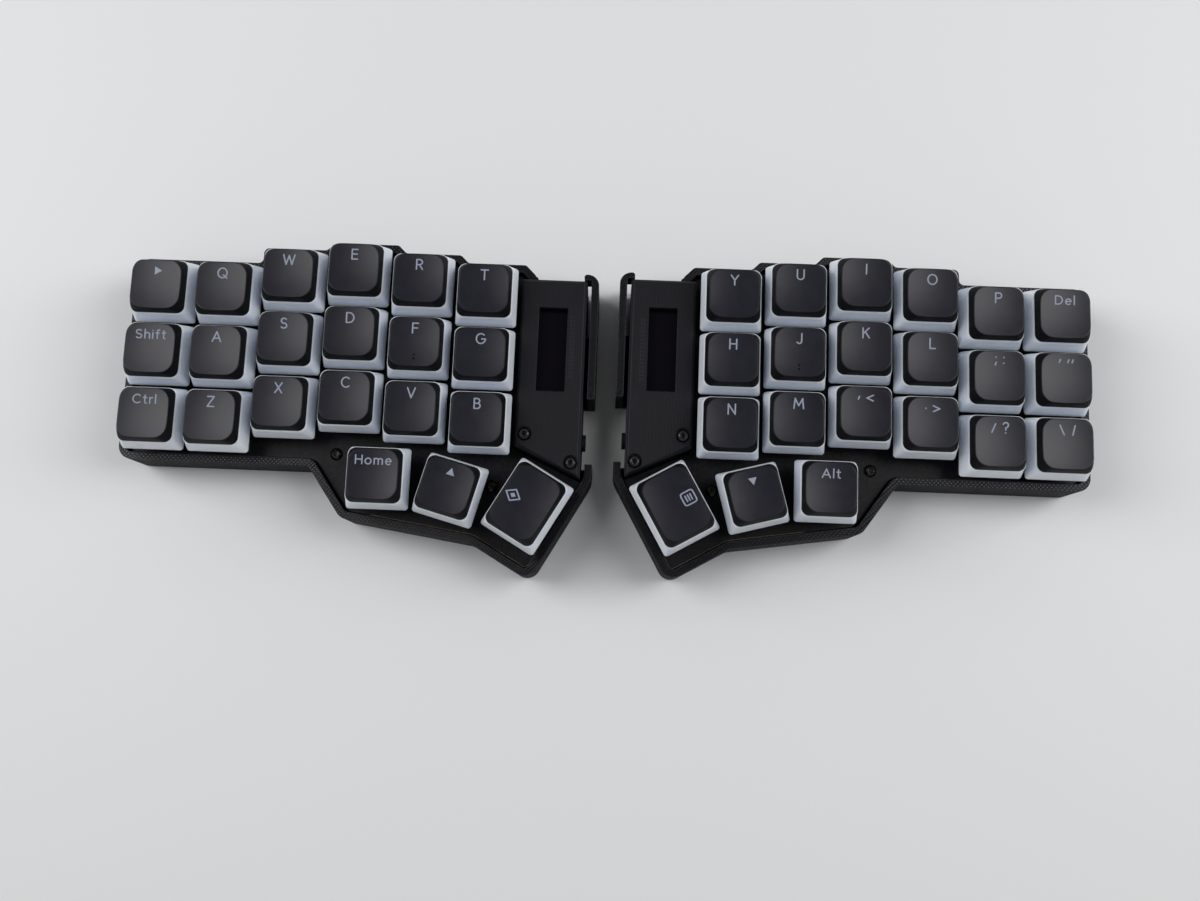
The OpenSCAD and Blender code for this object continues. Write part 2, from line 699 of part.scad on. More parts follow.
// Display: board on its pin header, and the glass under the window
module display(side) {
  board_y = window_y - display_l / 2;
  header_l = 10.2;
  z = board_top + display_rise;
  on_side(side) {
    color("black") translate([window_x - display_w / 2, board_y, z]) cube([display_w, display_l, display_t]);
    color("midnightblue") translate([window_x - glass_w / 2, window_y - glass_l / 2, z + display_t + fit])
      cube([glass_w, glass_l, glass_t]);
    color("black") translate([window_x - header_l / 2, board_y, board_top])
      cube([header_l, header_w, display_rise - fit]);
  }
}

// Controller: board on two pin headers, with the cable socket under its rear edge
module controller(side) {
  socket_rear = cover_rear;
  board_rear = socket_rear - edge_gap;
  z = board_top + header_h;
  on_side(side) {
    color("black") translate([window_x - controller_w / 2, board_rear - controller_l, z])
      cube([controller_w, controller_l, controller_t]);
    color("black") for (s = [-1, 1])
      translate([window_x + s * header_span / 2 - header_w / 2, board_rear - controller_l + edge_gap, board_top])
        cube([header_w, controller_l - 2 * edge_gap, header_h - fit]);
    color("silver") translate([window_x, socket_rear, z - fit - usb_h / 2]) usb_socket();
  }
}

// Cable socket: a rounded metal shell with a tongue inside
module usb_socket() {
  tongue_w = 6.6;
  tongue_t = 0.7;
  rotate([90, 0, 0]) {
    difference() {
      linear_extrude(usb_d) stadium(usb_w, usb_h);
      translate([0, 0, -over]) linear_extrude(usb_d - usb_wall + over)
        stadium(usb_w - 2 * usb_wall, usb_h - 2 * usb_wall);
    }
    translate([-tongue_w / 2, -tongue_t / 2, 1]) cube([tongue_w, tongue_t, usb_d - 1 - usb_wall / 2]);
  }
}

module stadium(w, h) {
  for (s = [-1, 1]) translate([s * (w - h) / 2, 0]) circle(d = h);
  square([w - h, h], center = true);
}

// Screw with a domed head and a hex recess; its head's underside is at Z = 0
module screw(shank) {
  difference() {
    union() {
      translate([0, 0, -shank]) cylinder(d = screw_d, h = shank + head_h / 2);
      rotate_extrude() intersection() {
        translate([0, head_h - dome_r]) circle(r = dome_r);
        square([head_d / 2, head_h]);
      }
    }
    translate([0, 0, head_h - hex_deep]) cylinder(d = hex_w / cos(30), h = hex_deep + over, $fn = 6);
  }
}
dome_r = (head_d * head_d / 4 + head_h * head_h) / (2 * head_h) * 1.02;

module spacer(h) {
  difference() {
    cylinder(d = spacer_d, h = h);
    translate([0, 0, -over]) cylinder(d = screw_d + 2 * screw_clear, h = h + 2 * over);
  }
}

module fasteners(side) {
  color([0.2, 0.2, 0.21]) on_side(side) {
    for (p = PLATE_SCREWS) translate([p[0], p[1], 0]) {
      translate([0, 0, plate_top]) screw(plate_top - board_z + screw_grip);
      translate([0, 0, board_top]) spacer(spacer_h);
    }
    for (p = COVER_SCREWS) translate([p[0], p[1], 0]) {
      translate([0, 0, cover_top - cover_recess]) screw(cover_t + screw_grip);
      translate([0, 0, board_top]) spacer(cover_rise);
    }
  }
}

module feet(side) {
  color("darkslategray") on_side(side)
    for (p = FEET) translate([p[0], p[1], 0]) cylinder(d = foot_d, h = foot_t);
}

for (side = SIDES) {
  case(side);
  switch_plate(side);
  circuit_board(side);
  switch_housings(side);
  screen_cover(side);
  display(side);
  controller(side);
  fasteners(side);
  feet(side);
}
for (s = [0, 1]) for (i = [0 : len(KEYS) - 1])
  key(SIDES[s], KEYS[i][0], KEYS[i][1], KEYS[i][2]);
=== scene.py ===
"""Split keyboard: two printed halves with two-tone keycaps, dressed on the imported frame."""
import math

import bpy
import numpy as np
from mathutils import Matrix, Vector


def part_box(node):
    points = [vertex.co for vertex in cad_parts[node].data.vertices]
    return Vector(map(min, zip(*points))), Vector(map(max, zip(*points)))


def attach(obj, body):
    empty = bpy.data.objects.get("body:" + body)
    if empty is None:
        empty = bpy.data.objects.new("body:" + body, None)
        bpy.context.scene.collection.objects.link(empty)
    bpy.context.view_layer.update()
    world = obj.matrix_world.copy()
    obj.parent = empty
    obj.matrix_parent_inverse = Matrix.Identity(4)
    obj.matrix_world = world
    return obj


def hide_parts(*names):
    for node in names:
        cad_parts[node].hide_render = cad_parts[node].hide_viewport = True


MM = 0.001

# Keycap, in millimetres: the outer sizes of the CAD keys, with a dish that is a little flatter
CAP_W = 18.1
CAP_LONG = 22.9
CAP_H = 10.1
CAP_CORNER = 0.95
CAP_WALL = 1.3
CAP_CEILING = 1.2
HOLLOW_CORNER = 0.6
LIP_HEIGHT = 0.12
LIP_INSET = 0.1
SKIRT_H = 7.0
SKIRT_LEAN = 1.15
SKIRT_CURVE = 1.15
SKIRT_LEDGE = 0.14
LEDGE_RISE = 0.05
CROWN_CORNER = 2.2
CROWN_LEAN = 0.85
CROWN_CURVE = 1.25
CROWN_UNDERCUT = 0.5
RIM_CORNER = 3.2
RIM_BULGE = 0.22
RIM_ROUND = 0.22
DISH_R = 54.0
DISH_DEPTH = 0.71

# Post of the keycap and slider of the switch below it: widths, and heights over the skirt's lower lip
POST_W = 5.5
POST_FROM = 0.6
SLIDER = (7.0, 6.0)
SLIDER_TOP = 0.4
SLIDER_REACH = 4.0
BLOCK_CORNER = 0.3

# Board thickness, and depths below the top of the display and of the controller, in millimetres
BOARD_T = 1.6
GLASS_T = 1.46
SOCKET_DEPTH = 4.8
CONTROLLER_T = 1.62

# In metres: slack over a board's top, and the depth in front of which a board's rim is bare
BOARD_SLACK = 0.00001
RIM_FROM = -0.0335

# Legends, in millimetres
CAP_HEIGHT = 3.0
BASELINE = 2.55
STROKE = 0.43
LETTER_GAP = 0.95
LETTER_SIZE = (1.04, 0.95)
WORD_SIZE = (0.97, 0.8)
WORD_STROKE = 0.4
STROKE_STEP = 0.0005
ARROW_SIZE = 0.47
LEGEND_PROUD = 0.025
LEGEND_DEEP = 0.12
HOMING_R = 0.34
HOMING_FLAT = 0.7
HOMING_SINK = 0.02
HOMING_GAP = 1.2
HOMING_Y = -4.9

THUMB_TURN = {"key_arrow_up": -15, "key_super": -30, "key_arrow_down": 15, "key_menu": 30}
LEGEND_TURN = {"key_super": 90, "key_menu": -90}
LONG_KEYS = ("key_super", "key_menu")
HOMING_KEYS = ("key_f", "key_j")
WORDS = {
    "key_shift": "Shift", "key_ctrl": "Ctrl", "key_home": "Home", "key_del": "Del", "key_alt": "Alt",
    "key_semicolon": "; :", "key_quote": "' \"", "key_comma": ", <", "key_period": ". >",
    "key_slash": "/ ?", "key_backslash": "\\ |",
    "key_arrow_right": "right", "key_arrow_up": "up", "key_arrow_down": "down",
    "key_super": "diamond", "key_menu": "list",
}
SIGNS = ("right", "up", "down", "diamond", "list")

# Screen covers, in millimetres: rows of faint dots between the window and the guard wall, as a range
# across the halves and one along their depth, and painted highlights along the bevel's edges, where
# light catches them, as ranges across the halves
COVER_DOTS = ((9.7, 11.3), (8.5, 27.5))
COVER_EDGE_HIGHLIGHTS = ((6.5, 6.8), (7.2, 7.5))

# Pale dots of the infill on the case's wall tops, with a painted glint that strengthens them outward:
# pitch and distance from the edges in millimetres, and where the painted glint is fullest, in metres
# from the middle plane
FILLING_PITCH = 0.9
FILLING_INSET = 0.55
FILLING_OUT = 0.1

# Squared upward part of a softened normal: level inside a wall top, and turned near an edge
TOP_LEVEL = 0.985
TOP_TURNED = 0.93
RIM_TURNED = 0.9

# Plain colours
LEGEND_INK = (0.28, 0.31, 0.4)
SCREEN = (0.0035, 0.0027, 0.006)
LAMINATE = (0.42, 0.36, 0.24)
DESK = (0.81, 0.82, 0.825)

# Camera, fitted to the keycaps' corners in the photograph
IMAGE_W = 1200
FOCAL_PX = 1188.3
CAMERA_AT = (0.00311, -0.06607, 0.3622)
CAMERA_TURN = (0.1551, 0.0053, 0.0401)

# Lamps on both sides, in metres and watts; the size is along the desk's depth and up the lamp's slope
SOFTBOX_X = 0.58
SOFTBOX_Y = 0.14
SOFTBOX_Z = 0.6
SOFTBOX_SIZE = (0.42, 0.7)
SOFTBOX_POWER = 3.6

# Room light from the horizon to straight overhead, its tint, and half the desk's width in metres
ROOM_LEVELS = ((0.0, 0.48), (0.55, 0.39), (0.8, 0.1), (1.0, 0.055))
ROOM_TINT = (0.97, 0.98, 1.0)
FLOOR_HALF = 3.0


def mesh_object(name, verts, faces, finish=None):
    """Mesh from an (n, 3) array in metres and quads or triangles; finish is a number per vertex."""
    mesh = bpy.data.meshes.new(name)
    mesh.from_pydata(verts.tolist(), [], faces)
    mesh.validate()
    mesh.shade_smooth()
    if finish is not None:
        layer = mesh.attributes.new("finish", "FLOAT", "POINT")
        layer.data.foreach_set("value", np.asarray(finish, dtype=np.float32))
    obj = bpy.data.objects.new(name, mesh)
    bpy.context.scene.collection.objects.link(obj)
    return obj


def grid_faces(rows, cols):
    """Quads of a rows x cols grid whose columns close on themselves."""
    i, j = np.meshgrid(np.arange(rows - 1), np.arange(cols), indexing="ij")
    k = (j + 1) % cols
    quad = np.stack([i * cols + j, i * cols + k, (i + 1) * cols + k, (i + 1) * cols + j], -1)
    return quad.reshape(-1, 4).tolist()


def rounded_rings(hx, hy, radius, bulge=0.0, corner_steps=8, side_steps=5):
    """Rounded rectangles, one per entry: half sizes hx, hy and corner radius, counter-clockwise.

    Each corner is a quarter circle about (hx - r, hy - r), straight sides join them, and the sides
    then swell by bulge * (1 - t * t), with t running from -1 to 1 along a side.
    """
    count = np.shape(hx)
    hx, hy, r, b = (np.broadcast_to(np.asarray(v, float), count)[:, None]
                    for v in (hx, hy, radius, bulge))
    quarter = np.linspace(0, np.pi / 2, corner_steps + 1)
    parts = []
    for c, (sx, sy) in enumerate(((1, 1), (-1, 1), (-1, -1), (1, -1))):
        a = quarter + c * np.pi / 2
        parts.append(np.stack([sx * (hx - r) + r * np.cos(a), sy * (hy - r) + r * np.sin(a)], -1))
    ring = []
    for c in range(4):
        here, there = parts[c], parts[(c + 1) % 4]
        t = (np.arange(1, side_steps) / side_steps)[None, :, None]
        ring += [here, here[:, -1:] * (1 - t) + there[:, :1] * t]
    p = np.concatenate(ring, 1)
    x, y = p[..., 0], p[..., 1]
    grow_x = 1 + b / hx * np.clip(1 - (y / hy) ** 2, 0, 1)
    grow_y = 1 + b / hy * np.clip(1 - (x / hx) ** 2, 0, 1)
    return np.stack([x * grow_x, y * grow_y], -1)


def dish_height(x, y, length):
    """Dish: lowest in the middle and rising with the square of the distance from it.

    On a long key the distance along it is scaled, so that the rim keeps the height of a short one's.
    """
    y = y * CAP_W / length
    return CAP_H - DISH_DEPTH + (x * x + y * y) / (2 * DISH_R)


def close_ends(rings):
    """Flattens an (r, n, 3) stack into vertices and faces, with a fan at the first and the last ring."""
    rows, cols = rings.shape[:2]
    verts = rings.reshape(-1, 3)
    faces = grid_faces(rows, cols)
    first, last = len(verts), len(verts) + 1
    verts = np.vstack([verts, rings[0].mean(0), rings[-1].mean(0)])
    j = np.arange(cols)
    k = (j + 1) % cols
    top = (rows - 1) * cols
    faces += np.stack([k, j, np.full(cols, first)], -1).tolist()
    faces += np.stack([top + j, top + k, np.full(cols, last)], -1).tolist()
    return verts, faces


def box_rings(w, d, z0, z1):
    """Block with slightly rounded upright edges, as a stack of two rings."""
    ring = rounded_rings(np.full(2, w / 2), np.full(2, d / 2), BLOCK_CORNER, corner_steps=2, side_steps=1)
    z = np.broadcast_to(np.array([z0, z1])[:, None, None], ring.shape[:2] + (1,))
    return np.concatenate([ring, z], -1)


def join(parts):
    """One set of vertices and faces from several."""
    verts, faces, n = [], [], 0
    for v, f in parts:
        verts.append(v)
        faces += [[i + n for i in face] for face in f]
        n += len(v)
    return np.vstack(verts), faces


def crown_shape(length):
    """Dark crown: a band that leans in from the skirt to the rim, and a dish inside the rim.

    The band's height follows the dish above it, so the rim dips at the middle of each side as the
    sphere cuts it. Finish is 0 on the band, 1 on the dish and between on the rounded rim.
    """
    half = np.array([CAP_W, length]) / 2 - SKIRT_LEAN
    rise = np.array([0, 0.03, 0.1, 0.3, 0.5, 0.7, 0.85, 0.95, 1.0])
    lean = CROWN_LEAN * rise ** CROWN_CURVE
    turn = np.radians([20, 40, 60, 90])
    over = RIM_ROUND * (1 - np.cos(turn))
    drop = RIM_ROUND * (1 - np.sin(turn))
    scale = np.array([0.985, 0.96, 0.92, 0.85, 0.75, 0.62, 0.48, 0.34, 0.2, 0.08])
    inset = np.concatenate([[CROWN_UNDERCUT], lean, CROWN_LEAN + over])
    blend = np.concatenate([[0], rise, np.ones(len(turn))])
    corner = CROWN_CORNER + (RIM_CORNER - CROWN_CORNER) * blend
    ring = rounded_rings(half[0] - inset, half[1] - inset, corner, RIM_BULGE * blend)
    inner = ring[-1][None] * scale[:, None, None]
    flat = np.concatenate([ring, inner])
    top = dish_height(flat[..., 0], flat[..., 1], length)
    climb = np.concatenate([[0], rise, np.ones(len(turn) + len(scale))])[:, None]
    down = np.concatenate([np.full(1 + len(rise), RIM_ROUND), drop, np.zeros(len(scale))])[:, None]
    z = SKIRT_H + climb * (top - down - SKIRT_H)
    finish = np.concatenate([np.zeros(1 + len(rise)), [0.15, 0.35, 0.6, 0.8], np.ones(len(scale))])
    verts, faces = close_ends(np.concatenate([flat, z[..., None]], -1))
    finish = np.concatenate([np.repeat(finish, flat.shape[1]), [0, 1]])
    post = close_ends(box_rings(POST_W, POST_W, POST_FROM, SKIRT_H))
    slider = close_ends(box_rings(*SLIDER, -SLIDER_REACH, SLIDER_TOP))
    all_verts, all_faces = join([(verts, faces), post, slider])
    return all_verts, all_faces, np.concatenate([finish, np.zeros(len(post[0]) + len(slider[0]))])


def skirt_shape(length):
    """Milky skirt: outer wall leaning in to the crown, a thin ledge round it, and a hollow below.

    Rings run from the inner ceiling down the inner wall, round the lower lip and up the outer wall.
    """
    full = np.array([CAP_W, length]) / 2
    z_out = np.array([0, LIP_HEIGHT, 0.4, 2.0, 3.9, 5.5, SKIRT_H])
    lean = SKIRT_LEAN * (z_out / SKIRT_H) ** SKIRT_CURVE
    lean[:2] = LIP_INSET, 0
    lean[-1] = SKIRT_LEAN - SKIRT_LEDGE
    hollow = [SKIRT_LEAN + CAP_WALL, CAP_WALL + LIP_INSET]
    inset = np.concatenate([hollow, lean, [SKIRT_LEAN + SKIRT_LEDGE]])
    z = np.concatenate([[SKIRT_H - CAP_CEILING, 0], z_out, [SKIRT_H + LEDGE_RISE]])
    corner = CAP_CORNER + (CROWN_CORNER - CAP_CORNER) * np.clip(z / SKIRT_H, 0, 1)
    corner[:2] = HOLLOW_CORNER
    ring = rounded_rings(full[0] - inset, full[1] - inset, corner)
    tall = np.broadcast_to(z[:, None, None], ring.shape[:2] + (1,))
    return close_ends(np.concatenate([ring, tall], -1))


def line(*xy):
    """Straight strokes through the given points, on a grid whose capital height is 1."""
    p = np.array(xy, float).reshape(-1, 2)
    return [np.linspace(a, b, 6) for a, b in zip(p[:-1], p[1:])]


def arc(cx, cy, rx, ry, start, end):
    """Elliptical stroke from one angle to another, in degrees."""
    a = np.radians(np.linspace(start, end, max(8, int(abs(end - start) / 11))))
    return [np.stack([cx + rx * np.cos(a), cy + ry * np.sin(a)], -1)]


def dot(x, y):
    """Short stroke that reads as a dot."""
    return line(x, y, x, y - 0.02)


# Each letter: its width and its strokes
LETTERS = {
    "A": (0.78, line(0, 0, 0.39, 1, 0.78, 0) + line(0.15, 0.34, 0.63, 0.34)),
    "B": (0.56, line(0, 0, 0, 1) + line(0, 1, 0.26, 1) + arc(0.26, 0.76, 0.23, 0.24, 90, -90)
          + line(0, 0.52, 0.28, 0.52) + arc(0.28, 0.26, 0.27, 0.26, 90, -90) + line(0.28, 0, 0, 0)),
    "C": (0.7, arc(0.41, 0.5, 0.41, 0.5, 48, 312)),
    "D": (0.68, line(0, 0, 0, 1, 0.24, 1) + arc(0.24, 0.5, 0.44, 0.5, 90, -90) + line(0.24, 0, 0, 0)),
    "E": (0.52, line(0.52, 1, 0, 1, 0, 0, 0.52, 0) + line(0, 0.52, 0.46, 0.52)),
    "F": (0.52, line(0.52, 1, 0, 1, 0, 0) + line(0, 0.52, 0.45, 0.52)),
    "G": (0.84, arc(0.42, 0.5, 0.42, 0.5, 48, 358) + line(0.84, 0.47, 0.5, 0.47)),
    "H": (0.62, line(0, 0, 0, 1) + line(0.62, 0, 0.62, 1) + line(0, 0.52, 0.62, 0.52)),
    "I": (0.0, line(0, 0, 0, 1)),
    "J": (0.36, line(0.36, 1, 0.36, 0.24) + arc(0.14, 0.24, 0.22, 0.24, 0, -150)),
    "K": (0.58, line(0, 0, 0, 1) + line(0.54, 1, 0, 0.42) + line(0.2, 0.63, 0.58, 0)),
    "L": (0.48, line(0, 1, 0, 0, 0.48, 0)),
    "M": (0.88, line(0, 0, 0.1, 1, 0.44, 0.28, 0.78, 1, 0.88, 0)),
    "N": (0.64, line(0, 0, 0, 1, 0.64, 0, 0.64, 1)),
    "O": (0.84, arc(0.42, 0.5, 0.42, 0.5, 0, 360)),
    "P": (0.55, line(0, 0, 0, 1, 0.28, 1) + arc(0.28, 0.73, 0.27, 0.27, 90, -90)
          + line(0.28, 0.46, 0, 0.46)),
    "Q": (0.84, arc(0.42, 0.5, 0.42, 0.5, 0, 360) + line(0.5, 0.3, 0.84, -0.02)),
    "R": (0.56, line(0, 0, 0, 1, 0.27, 1) + arc(0.27, 0.74, 0.26, 0.26, 90, -90)
          + line(0.27, 0.48, 0, 0.48) + line(0.27, 0.48, 0.56, 0)),
    "S": (0.56, arc(0.29, 0.75, 0.25, 0.25, 38, 270) + arc(0.29, 0.25, 0.27, 0.25, 90, -145)),
    "T": (0.66, line(0, 1, 0.66, 1) + line(0.33, 1, 0.33, 0)),
    "U": (0.62, line(0, 1, 0, 0.31) + arc(0.31, 0.31, 0.31, 0.31, 180, 360) + line(0.62, 0.31, 0.62, 1)),
    "V": (0.7, line(0, 1, 0.35, 0, 0.7, 1)),
    "W": (1.06, line(0, 1, 0.26, 0, 0.53, 0.92, 0.8, 0, 1.06, 1)),
    "X": (0.62, line(0, 1, 0.62, 0) + line(0.62, 1, 0, 0)),
    "Y": (0.66, line(0, 1, 0.33, 0.48, 0.66, 1) + line(0.33, 0.48, 0.33, 0)),
    "Z": (0.6, line(0, 1, 0.6, 1, 0, 0, 0.6, 0)),
    "e": (0.54, line(0.02, 0.36, 0.54, 0.36) + arc(0.28, 0.34, 0.26, 0.34, 4, 312)),
    "f": (0.32, arc(0.31, 0.84, 0.17, 0.2, 75, 180) + line(0.14, 0.84, 0.14, 0)
          + line(0, 0.66, 0.32, 0.66)),
    "h": (0.46, line(0, 0, 0, 1.05) + arc(0.23, 0.43, 0.23, 0.25, 180, 0) + line(0.46, 0.43, 0.46, 0)),
    "i": (0.0, line(0, 0, 0, 0.68) + dot(0, 0.97)),
    "l": (0.0, line(0, 0, 0, 1.05)),
    "m": (0.8, line(0, 0, 0, 0.68) + arc(0.2, 0.46, 0.2, 0.22, 180, 0) + line(0.4, 0.46, 0.4, 0)
          + arc(0.6, 0.46, 0.2, 0.22, 180, 0) + line(0.8, 0.46, 0.8, 0)),
    "o": (0.56, arc(0.28, 0.34, 0.28, 0.34, 0, 360)),
    "r": (0.26, line(0, 0, 0, 0.68) + arc(0.22, 0.42, 0.22, 0.25, 180, 75)),
    "t": (0.32, line(0.14, 0.95, 0.14, 0.16) + arc(0.3, 0.16, 0.16, 0.16, 180, 275)
          + line(0, 0.68, 0.32, 0.68)),
    ";": (0.12, dot(0.1, 0.98) + line(0.12, 0.48, 0.02, 0.22)),
    ":": (0.0, dot(0, 0.98) + dot(0, 0.43)),
    "'": (0.1, line(0.1, 0.98, 0, 0.7)),
    '"': (0.5, line(0.1, 0.98, 0, 0.7) + line(0.5, 0.98, 0.4, 0.7)),
    ",": (0.1, line(0.1, 0.62, 0, 0.36)),
    ".": (0.0, dot(0, 0.52)),
    "<": (0.6, line(0.6, 0.77, 0, 0.5, 0.6, 0.23)),
    ">": (0.6, line(0, 0.77, 0.6, 0.5, 0, 0.23)),
    "/": (0.34, line(0, 0.04, 0.34, 0.84)),
    "\\": (0.4, line(0, 0.95, 0.4, 0.05)),
    "|": (0.3, line(0.3, 0.95, 0.1, 0.05)),
    "?": (0.5, arc(0.25, 0.76, 0.24, 0.24, 165, -75) + line(0.27, 0.5, 0.25, 0.3) + dot(0.25, 0.03)),
    " ": (0.08, []),
}


def sign_strokes(sign):
    """Strokes and filled outlines of a sign, about its own middle, on the letters' grid."""
    if sign == "list":
        border = rounded_rings(np.array([0.62]), np.array([0.62]), 0.22, corner_steps=5, side_steps=4)[0]
        border = np.vstack([border, border[:1]])
        bars = sum((line(-0.28, y, 0.28, y) for y in (-0.26, 0.0, 0.26)), [])
        return [border] + bars, []
    if sign == "diamond":
        strokes = line(0, 0.75, 0.6, 0, 0, -0.75, -0.6, 0, 0, 0.75)
        return strokes, [np.array([[0, 0.3], [-0.24, 0], [0, -0.3], [0.24, 0]])]
    turn = {"up": 90, "right": 0, "down": -90}[sign]
    a = np.radians(turn + np.array([0, 120, 240]))
    return [], [ARROW_SIZE * np.stack([np.cos(a), np.sin(a)], -1)]


def word_strokes(word):
    """Strokes of a word laid out from left to right about its middle."""
    strokes, x = [], 0.0
    gap = LETTER_GAP / CAP_HEIGHT
    for letter in word:
        width, parts = LETTERS[letter]
        strokes += [p + [x, 0] for p in parts]
        x += width + gap
    middle = (x - gap) / 2
    return [p - [middle, 0] for p in strokes]


def stroke_tube(path, width, length, lift):
    """Flat stroke with round ends, lying in the dish: a four-cornered section carried along path.

    Rows past each end shrink the half width as cos and move on as sin, which rounds the end.
    """
    step = np.gradient(path, axis=0)
    step /= np.linalg.norm(step, axis=1, keepdims=True)
    a = np.radians([88, 65, 40, 18])
    head = path[0] - step[0] * (width / 2 * np.sin(a))[:, None]
    tail = path[-1] + step[-1] * (width / 2 * np.sin(a[::-1]))[:, None]
    mid = np.vstack([head, path, tail])
    along = np.vstack([np.repeat(step[:1], len(a), 0), step, np.repeat(step[-1:], len(a), 0)])
    half = width / 2 * np.concatenate([np.cos(a), np.ones(len(path)), np.cos(a[::-1])])
    side = np.stack([-along[:, 1], along[:, 0]], -1)
    across = np.array([-1, 1, 1, -1])
    up = np.array([-LEGEND_DEEP, -LEGEND_DEEP, LEGEND_PROUD, LEGEND_PROUD])
    xy = mid[:, None] + side[:, None] * (half[:, None] * across)[..., None]
    z = dish_height(xy[..., 0], xy[..., 1], length) + up + lift
    return close_ends(np.concatenate([xy, z[..., None]], -1)[::-1])


def filled_shape(corners, length):
    """Filled outline in the dish: the outline's edges, drawn in to the middle ring by ring."""
    n = len(corners)
    edge = np.concatenate([np.linspace(corners[i], corners[(i + 1) % n], 8)[:-1] for i in range(n)])
    scale = np.array([1.0, 1.0, 0.97, 0.6, 0.25])
    up = np.array([-LEGEND_DEEP, LEGEND_PROUD - 0.01, LEGEND_PROUD, LEGEND_PROUD, LEGEND_PROUD])
    middle = corners.mean(0)
    xy = middle + (edge - middle)[None] * scale[:, None, None]
    z = dish_height(xy[..., 0], xy[..., 1], length) + up[:, None]
    return close_ends(np.concatenate([xy, z[..., None]], -1))


def turned(degrees):
    """Matrix that turns row vectors about Z, counter-clockwise."""
    c, s = math.cos(math.radians(degrees)), math.sin(math.radians(degrees))
    return np.array([[c, s, 0], [-s, c, 0], [0, 0, 1]])


def legend_shape(word, turn, length):
    """A key's legend near the rear edge of its dish, as one set of vertices and faces.

    Signs stand about the middle of the capitals. Letters and words are stretched about it. Each
    stroke lies a little higher than the one before, so no two of them share a surface.
    """
    size, width = np.ones(2), STROKE
    if word in SIGNS:
        strokes, fills = sign_strokes(word)
        rise = CAP_HEIGHT / 2
    else:
        strokes, fills = word_strokes(word), []
        if len(word) == 1:
            size = np.array(LETTER_SIZE)
        elif word.isalpha():
            size, width = np.array(WORD_SIZE), WORD_STROKE
        rise = CAP_HEIGHT * (1 - size[1]) / 2
    spin = turned(turn)[:2, :2]

    def place(path):
        return (path * size * CAP_HEIGHT + [0, BASELINE + rise]) @ spin

    parts = [stroke_tube(place(p), width, length, STROKE_STEP * i) for i, p in enumerate(strokes)]
    parts += [filled_shape(place(f), length) for f in fills]
    return join(parts)


def dome(x, y, r, length):
    """Low dome on the dish: rings of a half sphere, flattened and sunk a little."""
    a = np.radians([0, 30, 60, 82])
    t = np.linspace(0, 2 * np.pi, 12, endpoint=False)
    xy = np.stack([x + r * np.cos(a)[:, None] * np.cos(t), y + r * np.cos(a)[:, None] * np.sin(t)], -1)
    lift = r * np.sin(a) * HOMING_FLAT - HOMING_SINK
    z = dish_height(xy[..., 0], xy[..., 1], length) + lift[:, None]
    return close_ends(np.concatenate([xy, z[..., None]], -1))


def put(verts, turn, centre):
    """Key frame in millimetres to the row frame in metres: turned about Z, then moved."""
    return verts @ turned(turn) * MM + np.asarray(centre)


def fill_ramp(ramp, stops):
    """Sets a colour ramp's stops, each one a place from 0 to 1 and a colour."""
    while len(ramp.elements) < len(stops):
        ramp.elements.new(0.5)
    for element, (at, colour) in zip(ramp.elements, stops):
        element.position, element.color = at, (*colour, 1)


class Value:
    """A number or colour that varies over a surface; arithmetic on it adds Math nodes."""

    def __init__(self, look, socket):
        self.look, self.socket = look, socket

    def _math(self, operation, a, b):
        return self.look.node("ShaderNodeMath", {"operation": operation}, {0: a, 1: b}, "Value")

    def __add__(self, other):
        return self._math("ADD", self, other)

    def __sub__(self, other):
        return self._math("SUBTRACT", self, other)

    def __rsub__(self, other):
        return self._math("SUBTRACT", other, self)

    def __mul__(self, other):
        return self._math("MULTIPLY", self, other)

    def __gt__(self, other):
        return self._math("GREATER_THAN", self, other)

    def __lt__(self, other):
        return self._math("LESS_THAN", self, other)

    __radd__, __rmul__ = __add__, __mul__


